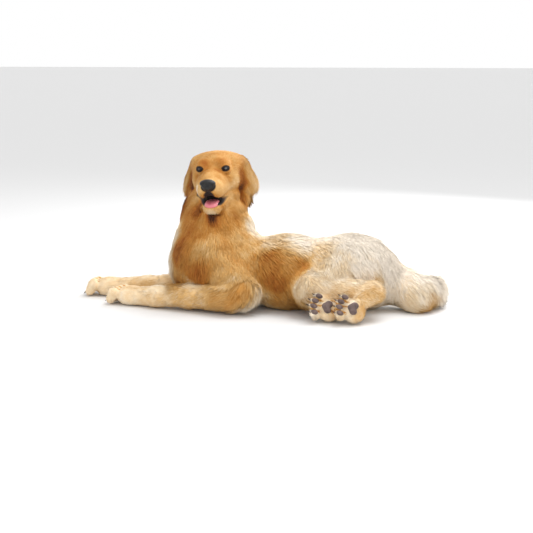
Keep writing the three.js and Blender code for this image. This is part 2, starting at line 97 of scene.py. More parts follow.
eye_low, eye_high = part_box("left_eye")
left_eye_centre = (np.array(eye_low) + np.array(eye_high)) / 2
SHIFT = left_eye_centre - on_head(50, EYE_SPACING / 2, EYE_HEIGHT) / 1000
SIDES = (-1, 1)
print("the body's origin lies", SHIFT.round(4), "m from the frame's")

# %% [markdown]
# A body is mostly round: rods for limbs and eggs for muscle and fat. Each shape here can do two
# things, show itself as a ball that is pulled into shape, and tell how far any point is from its
# surface. The first gives the rough clay, and the second is used to smooth that clay into one
# skin, with a fillet wherever two muscles meet. `depth` is how deep the coat lies over the skin
# there.

# %% Rods and eggs
class Rod:
    """A rod with round ends, from a to b, whose radius runs from ra to rb."""

    def __init__(self, a, b, ra, rb, depth=0.0):
        self.a, self.b = np.array(a, float), np.array(b, float)
        self.ra, self.rb = ra - depth, rb - depth

    def shape(self, unit):
        way = (self.b - self.a) / np.linalg.norm(self.b - self.a)
        far = (unit @ way > 0)[:, None]
        return np.where(far, self.b + unit * self.rb, self.a + unit * self.ra)

    def __call__(self, p):
        along = self.b - self.a
        t = np.clip((p - self.a) @ along / (along @ along), 0, 1)
        off = np.linalg.norm(p - self.a - t[:, None] * along, axis=1)
        return off - self.ra - (self.rb - self.ra) * t


class Egg:
    """An ellipsoid with half sizes along the columns of a turn."""

    def __init__(self, centre, half, turn=np.eye(3), depth=0.0):
        self.centre, self.turn = np.array(centre, float), turn
        self.half = np.array(half, float) - depth

    def shape(self, unit):
        return (unit * self.half) @ self.turn.T + self.centre

    def __call__(self, p):
        q = (p - self.centre) @ self.turn / self.half
        far = np.linalg.norm(q, axis=1)
        steep = np.linalg.norm(q / self.half, axis=1) + 1e-9
        return far * (far - 1) / steep


def soft_min(k, a, b):
    near = np.maximum(k - np.abs(a - b), 0)
    return np.minimum(a, b) - near * near / (4 * k)


def blend(k, *fields):
    def field(p):
        d = fields[0](p)
        for other in fields[1:]:
            d = soft_min(k, d, other(p))
        return d

    return field


def without(k, field, hole):
    return lambda p: -soft_min(k, -field(p), hole(p))


trial_rod = Rod((0, 0, 0), (50, 0, 0), 10, 10)
print("a rod of radius 10 is", trial_rod(np.array([[25.0, 0, 30]]))[0], "mm from a point 30 mm off")

# %% [markdown]
# The trunk of the lying dog is a row of rods along the spine, with a deep ruff on the breast. The
# numbers are those of the solids, out to the tips of the coat, and each shape is then made thinner
# by the coat's depth: 14 mm on the trunk, and 15 mm on the neck and the feathered tail.

# %% Trunk, neck and tail
BODY_COAT, NECK_COAT, TAIL_COAT = 14, 15, 15
trunk_shapes = [
    Rod((-104, -76, 100), (95, -40, 89), 85, 93, BODY_COAT),
    Rod((95, -40, 89), (228, -4, 90), 93, 90, BODY_COAT),
    Rod((228, -4, 90), (275, 16, 86), 90, 88, BODY_COAT),
    Rod((275, 16, 86), (345, 50, 62), 88, 48, BODY_COAT),
    Egg((-108, -86, 104), (80, 90, 116), depth=NECK_COAT),
]
neck_shapes = [
    Rod((-76, -56, 150), (-98, -48, 224), 91, 84, NECK_COAT),
    Rod((-98, -48, 224), (-101, -34, 286), 84, 68, NECK_COAT),
]
tail_shapes = [
    Rod((345, 46, 62), (396, 36, 46), 48, 48, TAIL_COAT),
    Rod((396, 36, 46), (432, 82, 44), 48, 42, TAIL_COAT),
]
print(len(trunk_shapes + neck_shapes + tail_shapes), "shapes for the trunk, neck and tail")

# %% [markdown]
# A leg is upper arm, forearm and paw, or thigh, shank and foot. A dog walks on its toes, so a paw
# has four of them side by side, the middle two in front. The paw's own frame, forward, across and
# away from the pads, places toes, claws and pads alike.

# %% Paws
TOES = (-1.5, -0.5, 0.5, 1.5)
TOE_SPREAD, TOE_R, PAW_R = 16.5, 12.0, 27.0
PAW_COAT = 2.5
HIND_PAW = 0.82  # a hind paw's size beside a fore paw's


class Paw:
    def __init__(self, centre, forward, away, size=1.0):
        self.size = size
        forward = np.array(forward, float)
        self.forward = forward / np.linalg.norm(forward)
        away = np.array(away, float)
        away = away - (away @ self.forward) * self.forward
        self.away = away / np.linalg.norm(away)
        self.across = np.cross(self.away, self.forward)
        self.centre = np.array(centre, float)
        self.turn = np.stack([self.forward, self.across, self.away], axis=1)

    def at(self, f, s, u):
        return self.centre + self.size * self.turn @ np.array([f, s, u], float)

    def toe(self, toe):
        """The middles of a toe's knuckle and of its tip."""
        reach = 43 - (7 if self.size < 1 else 4) * abs(toe)
        knuckle = self.at(reach - 11, toe * TOE_SPREAD * 0.97, 9)
        return knuckle, self.at(reach - 1, toe * TOE_SPREAD, -7)

    def shapes(self):
        half = np.array([36, 35, PAW_R - 1]) * self.size
        palm = Egg(self.at(-10, 0, 2), half, self.turn, PAW_COAT)
        knuckle, tip = (TOE_R + 4.5) * self.size, (TOE_R + 1.5) * self.size
        return [palm] + [Rod(*self.toe(t), knuckle, tip, PAW_COAT) for t in TOES]


UP = (0, 0, 1)
paws = {
    "left_fore": Paw((-290, -160, 21), (-90, 12, 0), UP),
    "right_fore": Paw((-398, -82, 21), (-112, -22, 0), UP),
    "left_hind": Paw((302, -166, 34), (-0.72, -0.3, 0.3), (-0.3, 0.8, -0.5), HIND_PAW),
    "right_hind": Paw((240, -166, 32), (-0.78, -0.3, 0.28), (-0.3, 0.8, -0.5), HIND_PAW),
}
print(len(paws), "paws with", len(TOES), "toes each")

# %% [markdown]
# The legs lie as a resting dog folds them: the forelegs stretched forward on the floor, and both
# hind legs to the left side, since the hips have rolled over to the right.

# %% Legs
LEG_COAT = 6


def foreleg(shoulder, elbow, forearm, wrist, paw):
    halfway = np.array(forearm) * 0.45 + np.array(wrist) * 0.55
    limb = [
        Rod(forearm, halfway, 44, 33, LEG_COAT),
        Rod(halfway, wrist, 33, 29, LEG_COAT),
        Rod(wrist, paw.centre, 29, 26, 4),
    ]
    return Rod(shoulder, elbow, 62, 50, BODY_COAT), limb, paw.shapes()


def hindleg(hip, knee, hock, paw, radii):
    thigh, stifle, shank, ankle = radii
    limb = [Rod(knee, hock, shank, ankle, LEG_COAT), Rod(hock, paw.centre, ankle - 2, PAW_R - 7, 4)]
    return Rod(hip, knee, thigh, stifle, BODY_COAT), limb, paw.shapes()


legs = {
    "left_fore": foreleg(
        (-82, -122, 124), (28, -164, 56), (0, -172, 46), (-200, -172, 29), paws["left_fore"]),
    "right_fore": foreleg(
        (-106, -14, 120), (-28, 58, 54), (-70, 42, 44), (-286, -60, 29), paws["right_fore"]),
    "left_hind": hindleg(
        (256, -30, 112), (190, -116, 66), (336, -102, 66), paws["left_hind"], (80, 58, 44, 30)),
    "right_hind": hindleg(
        (262, 30, 62), (186, -58, 44), (286, -80, 36), paws["right_hind"], (58, 42, 32, 24)),
}
print({name: len(leg[1]) + len(leg[2]) + 1 for name, leg in legs.items()}, "shapes in each leg")

# %% [markdown]
# The head is a broad skull, full cheeks, a bridge and a square muzzle with hanging flews. The
# mouth is a wedge cut between the flews and the lower jaw, since the dog pants with its mouth half
# open. Ears hang from high on the skull as thin flaps that bulge outwards.

# %% Head and ears
FACE_COAT, CROWN_COAT, EAR_COAT = 2.5, 5, 5
EAR_LENGTH, EAR_WIDTH = 118.0, 66.0
EAR_FLARE = {-1: 3.0, 1: 3.0}


def head_egg(place, half, pitch=0.0, yaw=0.0, depth=0.0):
    return Egg(on_head(*place), half, HEAD_TURN @ axes(yaw, -pitch), depth)


def head_rod(a, b, ra, rb, depth=0.0):
    return Rod(on_head(*a), on_head(*b), ra, rb, depth)


skull_shapes = [
    head_egg((-4, 0, 0), (66, 60, 50), depth=CROWN_COAT),
    head_egg((-34, 0, -58), (44, 74, 52), depth=12),
]
face_shapes = [
    head_egg((62, 0, -16), (42, 30, 24), 8, depth=FACE_COAT),
    head_egg((94, 0, -34), (38, 27, 20), 4, depth=FACE_COAT),
]
for s in SIDES:
    skull_shapes.append(head_egg((12, s * 35, -24), (44, 27, 36), depth=CROWN_COAT))
    skull_shapes.append(head_egg((-12, s * 42, 19), (34, 28, 21), depth=CROWN_COAT))
    skull_shapes.append(head_egg((-20, s * 56, -34), (28, 20, 36), depth=CROWN_COAT))
    face_shapes.append(head_egg((44, s * 24, 17), (16, 18, 12), depth=FACE_COAT))
    face_shapes.append(head_egg((66, s * 24, -34), (38, 17, 22), 6, -s * 16, depth=FACE_COAT))
    face_shapes.append(head_egg((94, s * 17, -44), (35, 18, 20), 4, -s * 6, depth=FACE_COAT))

jaw_shapes = [head_rod((14, 0, -62), (62, 0, -80), 32, 24, CROWN_COAT)]
jaw_shapes += [head_rod((12, s * 30, -56), (66, s * 15, -79), 29, 20, CROWN_COAT) for s in SIDES]
jaw_shapes += [head_rod((62, s * 8, -80), (94, s * 7, -89), 19, 14, FACE_COAT) for s in SIDES]


def ear_shapes(s):
    root = on_head(-16, s * 58, 24)
    bulge = on_head(-22, s * (74 + EAR_FLARE[s]), 30 - 0.52 * EAR_LENGTH)
    tip = on_head(-12, s * (62 + 0.6 * EAR_FLARE[s]), 29 - EAR_LENGTH)

    def lobe(a, b, t, long, wide, thick):
        down = (b - a) / np.linalg.norm(b - a)
        out = head_way(0.5, s, 0)
        out = out - (out @ down) * down
        out = out / np.linalg.norm(out)
        turn = np.stack([down, np.cross(out, down), out], axis=1)
        half = (EAR_LENGTH * long, EAR_WIDTH * wide, thick)
        return Egg(a * (1 - t) + b * t, half, turn, EAR_COAT)

    return [
        lobe(root, bulge, 0.34, 0.28, 0.4, 12),
        lobe(root, bulge, 0.95, 0.3, 0.48, 12),
        lobe(bulge, tip, 0.56, 0.3, 0.28, 10),
    ]


ears = {s: ear_shapes(s) for s in SIDES}
print(len(skull_shapes + face_shapes + jaw_shapes), "shapes in the head and", len(ears), "ears")

# %% [markdown]
# One field joins everything. Big muscles melt into each other over 40 mm, paws and face keep tight
# fillets. The mouth is taken away, and so is an almond in front of each eyeball, which leaves an
# upper and a lower lid round it.

# %% The field of the whole skin
eye_centres = {s: on_head(50, s * EYE_SPACING / 2, EYE_HEIGHT) for s in SIDES}


def eye_opening(s):
    turn = HEAD_TURN @ axes(s * 20, 4, s * 9)
    centre = eye_centres[s] + turn @ np.array([11.0, 0, 0])
    return Egg(centre, (11, 9.4, 6.2), turn)


mouth = blend(
    6,
    head_egg((92, 0, -72), (42, 22, 9), 12),
    head_egg((110, 0, -66), (24, 13, 9)),
    *[head_rod((88, s * 24, -72), (50, s * 45, -54), 8, 3.5) for s in SIDES],
    *[head_rod((50, s * 45, -54), (41, s * 53, -41), 3.5, 2) for s in SIDES],
)
eye_openings = [eye_opening(s) for s in SIDES]
lids = [Egg(eye_centres[s], (EYE_R + 2.2,) * 3) for s in SIDES]
roots = [leg[0] for leg in legs.values()]
limbs = [shape for leg in legs.values() for shape in leg[1]]
feet = [blend(8, leg[2][0], blend(2.5, *leg[2][1:])) for leg in legs.values()]

torso = blend(50, blend(46, *trunk_shapes), blend(40, *neck_shapes))
body = blend(34, torso, *roots, blend(30, *tail_shapes))
head = blend(13, blend(24, *skull_shapes), *face_shapes)
head = blend(5, head, *lids)
head = blend(7, head, without(4, blend(12, *jaw_shapes), mouth))
flaps = blend(8, *[blend(9, *shapes) for shapes in ears.values()])
whole_skin = blend(10, body, blend(14, *limbs), blend(3, *feet), blend(6, head, flaps))
whole_skin = without(3, whole_skin, mouth)
whole_skin = without(2, whole_skin, blend(1, *eye_openings))
print("the centre of the skull is", round(float(whole_skin(HEAD_CENTRE[None])[0])), "mm deep")

# %% [markdown]
# The rough clay is one ball for each shape, pulled into place, and all are joined and given one
# surface by a voxel remesh, which fuses them as no boolean could in so little time. The points of
# that surface then settle on the field: each is moved down the field's slope until it reads zero.

# %% The clay
FLOOR_Z = 0.0035  # the skin keeps this far above the floor, for the fur under it


def all_shapes():
    parts = trunk_shapes + neck_shapes + tail_shapes + roots + limbs
    for leg in legs.values():
        parts = parts + leg[2]
    return parts + skull_shapes + face_shapes + jaw_shapes + ears[-1] + ears[1] + lids


def to_frame(p):
    return p / 1000 + SHIFT


def to_body(p):
    return (p - SHIFT) * 1000


def points_of(mesh):
    flat = np.empty(len(mesh.vertices) * 3, np.float32)
    mesh.vertices.foreach_get("co", flat)
    return flat.reshape(-1, 3).astype(float)


def place_points(mesh, points):
    mesh.vertices.foreach_set("co", points.astype(np.float32).ravel())
    mesh.update()


bpy.ops.object.select_all(action="DESELECT")
bpy.ops.mesh.primitive_uv_sphere_add(segments=28, ring_count=16, radius=1)
ball = bpy.context.object
lumps = [ball]
for shape in all_shapes()[1:]:
    lump = ball.copy()
    lump.data = ball.data.copy()
    bpy.context.collection.objects.link(lump)
    lumps.append(lump)
unit = points_of(ball.data)
for lump, shape in zip(lumps, all_shapes()):
    place_points(lump.data, to_frame(shape.shape(unit)))
    lump.select_set(True)
bpy.ops.object.join()
skin = bpy.context.object
skin.name = "skin"
print(len(lumps), "lumps of clay joined")


# %% Settle the clay into one skin
def slope_of(field, p, step=0.4):
    here = field(p)
    slope = np.stack([field(p + step * axis) - here for axis in np.eye(3)], axis=1) / step
    return here, slope


def settle(obj, field, rounds=3, most=9.0):
    p = to_body(points_of(obj.data))
    for _ in range(rounds):
        here, slope = slope_of(field, p)
        steep = np.maximum((slope**2).sum(1), 0.15)
        move = slope * (-here / steep)[:, None]
        long = np.linalg.norm(move, axis=1)
        p += move * np.minimum(1, most / np.maximum(long, 1e-6))[:, None]
    q = to_frame(p)
    q[:, 2] = np.maximum(q[:, 2], FLOOR_Z)
    place_points(obj.data, q)


def apply_modifier(obj, kind, **settings):
    bpy.context.view_layer.objects.active = obj
    made = obj.modifiers.new(kind.title(), kind)
    for name, value in settings.items():
        setattr(made, name, value)
    bpy.ops.object.modifier_apply(modifier=made.name)


for voxel in (0.0045, 0.0034):
    apply_modifier(skin, "REMESH", mode="VOXEL", voxel_size=voxel)
    settle(skin, whole_skin)
    apply_modifier(skin, "SMOOTH", factor=0.5, iterations=2)
print("the skin has", len(skin.data.vertices), "points")

# %% [markdown]
# A face needs finer clay than a flank. Only the faces near the muzzle and eyes are subdivided, and
# the skin settles once more.

# %% Finer clay on the face
FINE_REACH = 0.082  # metres from the middle of the muzzle
muzzle = to_frame(on_head(72, 0, -25))
bpy.ops.object.mode_set(mode="EDIT")
bpy.ops.mesh.select_mode(type="FACE")
bpy.ops.mesh.select_all(action="DESELECT")
bpy.ops.object.mode_set(mode="OBJECT")
centres = np.empty(len(skin.data.polygons) * 3)
skin.data.polygons.foreach_get("center", centres)
near = np.linalg.norm(centres.reshape(-1, 3) - muzzle, axis=1) < FINE_REACH
skin.data.polygons.foreach_set("select", near)
bpy.ops.object.mode_set(mode="EDIT")
bpy.ops.mesh.subdivide(number_cuts=1)
bpy.ops.mesh.quads_convert_to_tris()
bpy.ops.object.mode_set(mode="OBJECT")
settle(skin, whole_skin, rounds=4, most=3.0)
bpy.ops.object.shade_smooth()
print("now it has", len(skin.data.vertices), "points and", len(skin.data.polygons), "faces")

# %% [markdown]
# The coat map says how the fur grows: at each landmark, which way it lies, how long it is in
# millimetres, how far it lifts, and its tone, from 0 for cream to 1 for the darkest amber. A
# groomer knows the same chart by heart. Between landmarks everything is averaged, the near ones
# counting most.

# %% The coat map of the head
# Some tones in the map carry painted shade and painted highlight as well as the coat's own colour;
# each is noted where it stands.
coat_map = []  # (group, place, lie, length, lift, tone)


def mark(group, place, lie, length, lift, tone):
    coat_map.append((group, np.array(place, float), np.array(lie, float), length, lift, tone))


ONE = (1,)  # for a landmark on one side or in the middle, where others are on both SIDES


def mark_head(group, rows):
    for place, lie, length, lift, tone, sides in rows:
        for s in sides:
            there = on_head(place[0], s * place[1], place[2])
            mark(group, there, head_way(lie[0], s * lie[1], lie[2]), length, lift, tone)


mark_head("face", [
    ((118, 0, -14), (-1, 0, 0.2), 3, 0.15, 0.22, ONE),
    ((96, 0, -8), (-1, 0, 0.2), 4, 0.15, 0.44, ONE),
    ((76, 0, 4), (-1, 0, 0.4), 5, 0.18, 0.56, ONE),
    ((62, 0, 16), (-0.7, 0, 0.7), 6, 0.2, 0.50, ONE),
    ((46, 0, 34), (-0.6, 0, 0.7), 8, 0.2, 0.52, ONE),
    ((40, 24, 34), (-0.6, 0.3, 0.6), 8, 0.2, 0.52, SIDES),
    ((20, 0, 46), (-0.9, 0, 0.3), 10, 0.2, 0.56, ONE),
    ((-20, 0, 50), (-1, 0, -0.1), 14, 0.22, 0.48, ONE),
    ((-55, 0, 25), (-0.6, 0, -0.8), 24, 0.25, 0.58, ONE),
    ((56, 22, 24), (-0.4, 0.4, 0.8), 6, 0.2, 0.70, SIDES),
    ((48, 38, 26), (-0.5, 0.5, 0.6), 7, 0.2, 0.58, SIDES),
    ((70, 12, -2), (-0.5, 0.6, -0.2), 4, 0.15, 0.66, SIDES),
    ((86, 22, -16), (-0.8, 0.4, -0.3), 4, 0.15, 0.56, SIDES),
    ((60, 34, -14), (-0.7, 0.4, -0.5), 6, 0.18, 0.60, SIDES),
    ((104, 22, -24), (-0.9, 0.3, -0.2), 4, 0.15, 0.50, SIDES),
    ((116, 22, -42), (-0.6, 0.3, -0.6), 4, 0.16, 0.40, SIDES),
    # Cream on the muzzle's right side only: a painted highlight.
    ((104, -34, -40), (-0.8, -0.3, -0.5), 4, 0.16, 0.0, ONE),
    # Dark fur beside the cleft under the nose: painted shade.
    ((118, 8, -56), (-0.2, 0.3, -0.9), 3, 0.15, 0.62, SIDES),
    ((84, 38, -46), (-0.7, 0.3, -0.6), 5, 0.16, 0.42, SIDES),
    ((60, 44, -44), (-0.7, 0.3, -0.4), 6, 0.16, 0.36, SIDES),
    ((40, 54, 0), (-0.9, 0.2, -0.2), 8, 0.2, 0.50, SIDES),
    ((24, 56, 24), (-0.8, 0.3, 0.3), 9, 0.2, 0.52, SIDES),
    ((38, 54, -28), (-0.8, 0.2, -0.4), 10, 0.2, 0.40, SIDES),
    ((24, 56, -60), (-0.7, 0.2, -0.7), 14, 0.24, 0.56, SIDES),
    ((48, 40, -68), (-0.7, 0.2, -0.5), 6, 0.16, 0.46, SIDES),
    ((0, 60, -62), (-0.5, 0.3, -0.8), 24, 0.3, 0.66, SIDES),
    ((100, 0, -104), (-0.5, 0, -0.8), 6, 0.2, 0.18, ONE),
    ((84, 20, -94), (-0.8, 0.3, -0.4), 6, 0.18, 0.30, SIDES),
    ((60, 28, -88), (-0.7, 0.2, -0.6), 9, 0.2, 0.46, SIDES),
    # Painted shadow under the throat.
    ((26, 14, -106), (-0.2, 0, -1), 26, 0.3, 1.05, SIDES),
])
mark_head("ear", [
    ((-16, 56, 34), (-0.2, 0.9, -0.3), 9, 0.12, 0.52, SIDES),
    ((-12, 74, 14), (0, 0.3, -1), 15, 0.16, 0.50, SIDES),
    ((-12, 84, -14), (0, 0.1, -1), 20, 0.2, 0.40, SIDES),
    ((-20, 92, -34), (-0.2, 0.1, -1), 24, 0.24, 0.34, SIDES),
    # The dark marks down each ear's front edge are painted shadow of the gap between ear and cheek.
    ((10, 58, -8), (0.1, 0, -1), 10, 0.14, 0.84, SIDES),
    ((10, 57, -38), (0.1, 0, -1), 14, 0.16, 1.0, SIDES),
    ((2, 74, -46), (0.1, 0, -1), 18, 0.16, 0.46, SIDES),
    ((8, 54, -62), (0.1, 0, -1), 16, 0.16, 0.95, SIDES),
])
mark_head("face", [
    # Painted shadow on the cheek behind the ear.
    ((-4, 60, -30), (-0.6, 0.2, -0.8), 12, 0.2, 0.84, SIDES),
])
mark_head("ear", [
    ((2, 76, -72), (0, 0, -1), 24, 0.2, 0.44, SIDES),
    ((-40, 76, -50), (-0.3, 0.1, -1), 22, 0.2, 0.56, SIDES),
    # The right ear's lower end, deepest amber, is partly dark hair and partly painted shade.
    ((4, -70, -72), (0, 0, -1), 30, 0.2, 1.05, ONE),
    ((8, -82, -44), (0, 0, -1), 26, 0.2, 1.3, ONE),
    ((6, -80, -62), (0, 0, -1), 30, 0.2, 1.4, ONE),
])
print(len(coat_map), "landmarks on the head")

# %% The coat map of the body
def mark_all(group, rows):
    for place, lie, length, lift, tone in rows:
        mark(group, place, lie, length, lift, tone)


mark_all("neck", [
    # The three darkest, just under the jaw, are painted shadow.
    ((-100, -122, 252), (0, -0.2, -1), 30, 0.24, 0.98),
    ((-72, -126, 240), (0.1, -0.2, -1), 34, 0.24, 1.05),
    ((-48, -122, 246), (0.1, -0.2, -1), 34, 0.24, 0.92),
    ((-110, -140, 210), (-0.1, -0.3, -1), 42, 0.30, 0.72),
    ((-40, -116, 236), (0.3, -0.2, -1), 36, 0.26, 0.66),
    ((0, -104, 214), (0.6, -0.2, -0.9), 40, 0.36, 0.44),
    ((-172, -116, 196), (-0.5, -0.2, -1), 44, 0.46, 0.0),
    ((-30, -60, 268), (0.5, 0, -1), 34, 0.26, 0.46),
    ((-36, 0, 280), (0.6, 0.1, -0.9), 32, 0.24, 0.42),
    ((-20, -40, 210), (0.8, 0, -0.7), 42, 0.40, 0.04),
    ((-70, 40, 220), (0.2, 0.3, -1), 40, 0.30, 0.58),
    ((-150, 20, 190), (-0.4, 0.3, -0.9), 44, 0.34, 0.50),
])
mark_all("chest", [
    ((-70, -156, 172), (0, -0.3, -1), 44, 0.30, 0.50),
    ((-132, -146, 170), (-0.2, -0.2, -1), 46, 0.32, 0.80),
    ((-176, -118, 130), (-0.3, -0.1, -1), 42, 0.40, 0.02),
    ((-180, -90, 80), (-0.2, 0, -1), 40, 0.32, 0.10),
    ((-80, -172, 118), (0, -0.2, -1), 40, 0.28, 0.80),
    ((-130, -150, 70), (-0.1, -0.2, -1), 36, 0.28, 0.66),
    ((30, -136, 150), (0.4, -0.2, -0.9), 32, 0.22, 0.60),
    ((-26, -150, 150), (0.2, -0.2, -1), 32, 0.24, 0.52),
    ((0, -176, 86), (0.2, -0.3, -1), 26, 0.22, 0.44),
    ((-20, -164, 116), (0.2, -0.2, -1), 30, 0.22, 0.48),
    ((10, -100, 166), (0.7, -0.2, -0.7), 30, 0.22, 0.42),
    ((-150, 20, 110), (-0.3, 0.3, -0.9), 42, 0.32, 0.46),
])
mark_all("back", [
    # The cream along the top of the back is partly pale coat and partly painted highlight from the
    # light behind.
    ((30, -40, 185), (1, 0, -0.1), 30, 0.2, 0.06),
    ((60, -80, 168), (1, -0.2, -0.4), 30, 0.2, 0.26),
    ((70, -120, 140), (0.8, -0.2, -0.7), 32, 0.2, 0.72),
    ((90, -136, 90), (0.6, -0.2, -0.8), 34, 0.22, 0.76),
    ((90, -130, 44), (0.5, -0.3, -0.8), 36, 0.24, 0.60),
    ((66, -160, 22), (0.4, -0.5, -0.8), 38, 0.26, 0.0),
    ((62, -150, 52), (0.3, -0.4, -0.9), 36, 0.24, 0.14),
    ((130, -62, 172), (1, 0, -0.2), 30, 0.2, 0.08),
    ((150, -112, 124), (0.8, -0.2, -0.6), 32, 0.2, 0.66),
    ((150, -110, 50), (0.6, -0.3, -0.8), 36, 0.24, 0.70),
    ((130, -30, 184), (1, 0, 0), 30, 0.2, 0.04),
    ((200, -20, 184), (1, 0, 0.1), 30, 0.2, 0.02),
    ((190, -84, 150), (0.8, -0.3, -0.5), 32, 0.2, 0.30),
    ((100, 60, 140), (1, 0.3, -0.5), 32, 0.2, 0.50),
    ((220, 70, 130), (1, 0.3, -0.5), 32, 0.22, 0.40),
    ((0, 70, 120), (0.6, 0.4, -0.7), 34, 0.24, 0.56),
])
mark_all("rump", [
    # The rump's cream is partly pale coat and partly painted highlight from the light behind.
    ((250, -40, 196), (0.7, -0.4, -0.2), 30, 0.16, -0.06),
    ((300, -20, 180), (0.9, -0.3, -0.4), 32, 0.17, -0.06),
    ((230, -100, 170), (0.3, -0.5, -0.6), 30, 0.16, 0.10),
    ((196, -120, 140), (0, -0.3, -0.9), 28, 0.16, 0.24),
    ((250, -120, 130), (0.4, -0.4, -0.8), 30, 0.17, 0.16),
    ((300, -90, 120), (0.6, -0.4, -0.7), 34, 0.18, -0.04),
    ((170, -150, 80), (0, -0.4, -0.9), 26, 0.17, 0.26),
    ((160, -160, 40), (0.2, -0.5, -0.8), 24, 0.18, 0.50),
    ((350, -10, 120), (0.8, -0.3, -0.6), 40, 0.20, -0.06),
    ((360, -20, 60), (0.6, -0.6, -0.5), 42, 0.22, 0.12),
    ((350, 90, 100), (0.8, 0.5, -0.5), 40, 0.22, 0.18),
    ((290, 110, 90), (0.7, 0.5, -0.6), 34, 0.2, 0.30),
])
mark_all("tail", [
    ((380, 40, 96), (1, 0, -0.2), 44, 0.34, -0.02),
    ((420, 60, 88), (0.9, 0.2, -0.4), 42, 0.34, -0.02),
    ((460, 90, 60), (0.5, 0.3, -0.9), 38, 0.32, -0.02),
    ((400, -10, 50), (0.7, -0.5, -0.6), 44, 0.34, 0.18),
    ((430, 20, 24), (0.8, -0.4, -0.4), 42, 0.34, 0.62),
    ((400, 90, 50), (0.7, 0.3, -0.6), 40, 0.26, 0.16),
])
print(len(coat_map), "landmarks with the body")


# %% The coat map of the legs
def along_leg(group, a, b, start, end, out):
    """Landmarks along a leg, from values (length, lift, top tone, side tone) at its ends."""
    a, b, out = np.array(a, float), np.array(b, float), np.array(out, float)
    way = (b - a) / np.linalg.norm(b - a)
    for t in (0.0, 0.5, 1.0):
        length, lift, top, side = np.array(start) * (1 - t) + np.array(end) * t
        there = a * (1 - t) + b * t
        mark(group, there + np.array([0, 0, 32]), way, length, lift, top)
        mark(group, there + out * 32, way + np.array([0, 0, -0.4]), length * 1.2, lift, side)
        mark(group, there - out * 32, way + np.array([0, 0, -0.4]), length, lift, side)


NEAR, FAR = (0, -1, -0.2), (-0.2, -1, 0)
along_leg("foreleg", (0, -172, 46), (-200, -172, 29),
          (15, 0.2, 0.34, 0.46), (8, 0.18, 0.14, 0.30), NEAR)
along_leg("foreleg", (-70, 42, 44), (-286, -60, 29),
          (14, 0.2, 0.30, 0.40), (8, 0.18, 0.14, 0.34), FAR)
mark("foreleg", (30, -190, 60), (-0.2, -0.4, -0.8), 24, 0.24, 0.58)
for name in ("left_fore", "right_fore"):
    paw = paws[name]
    mark("foreleg", paw.at(-10, 0, 26), paw.forward - paw.away * 0.1, 7, 0.2, 0.24)
    mark("foreleg", paw.at(36, 0, 10), paw.forward - paw.away * 0.5, 6, 0.2, 0.16)
    for out in (30, -30):
        mark("foreleg", paw.at(10, out, 0), paw.forward - paw.away * 0.4, 7, 0.2, 0.18)
along_leg("hindleg", (190, -116, 66), (336, -102, 66),
          (16, 0.2, 0.14, 0.26), (13, 0.2, 0.22, 0.38), NEAR)
for name in ("left_hind", "right_hind"):
    paw = paws[name]
    mark("hindleg", paw.at(-34, 0, -16), paw.forward, 8, 0.2, 0.34)
    mark("hindleg", paw.at(-10, 0, 26), paw.forward, 9, 0.2, 0.10)
    mark("hindleg", paw.at(36, 0, 8), paw.forward - paw.away * 0.4, 8, 0.2, 0.02)
    mark("hindleg", paw.at(14, 0, -24), paw.forward - paw.away * 0.2, 6, 0.25, 0.10)
print(len(coat_map), "landmarks in all")

# %% [markdown]
# Reading the map at thousands of points at once is a job for arrays: the weight of each landmark
# falls with about the fourth power of its distance, and the lie is then laid flat on the skin.

# %% Read the coat map
places = np.stack([m[1] for m in coat_map])
lies = np.stack([m[2] / np.linalg.norm(m[2]) for m in coat_map])
values = np.array([m[3:] for m in coat_map])
groups = sorted({m[0] for m in coat_map})
group_of = np.array([groups.index(m[0]) for m in coat_map])


SOFTEN = 60  # square millimetres, so that no landmark makes a spot
FALL_OFF = 2.2  # of the weight with the squared distance


def read_map(p):
    """Lie, length, lift and tone at body points, and the group of the nearest landmark."""
    lie, value, group = [], [], []
    for chunk in np.array_split(p, max(1, len(p) // 20000)):
        far2 = ((chunk[:, None] - places[None]) ** 2).sum(2)
        weight = 1 / (far2 + SOFTEN) ** FALL_OFF
        weight /= weight.sum(1, keepdims=True)
        lie.append(weight @ lies)
        value.append(weight @ values)
        group.append(group_of[far2.argmin(1)])
    return np.concatenate(lie), np.concatenate(value), np.concatenate(group)


def waves(p, size, seed, count=7):
    """Smooth noise from -1 to 1, as a few crossing waves about `size` mm long."""
    rng = np.random.default_rng(seed)
    total = np.zeros(len(p))
    for _ in range(count):
        way = rng.normal(size=3)
        way *= rng.uniform(0.6, 1.6) * 2 * math.pi / size / np.linalg.norm(way)
        total += np.sin(p @ way + rng.uniform(0, 7))
    return total / count * 1.6


skin_points = to_body(points_of(skin.data))
skin_lie, skin_value, skin_group = read_map(skin_points)
print("tone runs from", skin_value[:, 2].min().round(2), "to", skin_value[:, 2].max().round(2))

# %% [markdown]
# Some skin is bare: black lips, eye rims and the inside of the mouth. The black spread under the
# nose and over the inside of the mouth is partly painted shade. It is marked by its distance to
# those openings, and the same mark keeps fur off it.


# %% Bare skin
def bare_skin_and_shade(p):
    """1 on bare black skin and on painted shade under the nose and in the mouth, 0 under fur."""
    lip = np.clip(1.4 - mouth(p) / 3.6, 0, 1)
    rims = [np.clip(1.4 - opening(p) / 1.9, 0, 1) for opening in eye_openings]
    around_nose = np.clip(1.5 - head_egg((128, 0, -30), (13, 18, 15))(p) / 2.5, 0, 1)
    # Black of the lips below the nose, widened as painted shade under the nose.
    cleft_and_shade = np.clip(1.4 - head_egg((118, 0, -57), (13, 9, 11))(p) / 5, 0, 1)
    # Inside of the mouth, dark partly as painted shade.
    mouth_lining_and_shade = np.clip(1.2 - head_egg((88, 0, -68), (34, 21, 12))(p) / 3, 0, 1)
    return np.maximum.reduce([lip, around_nose, cleft_and_shade, mouth_lining_and_shade] + rims)


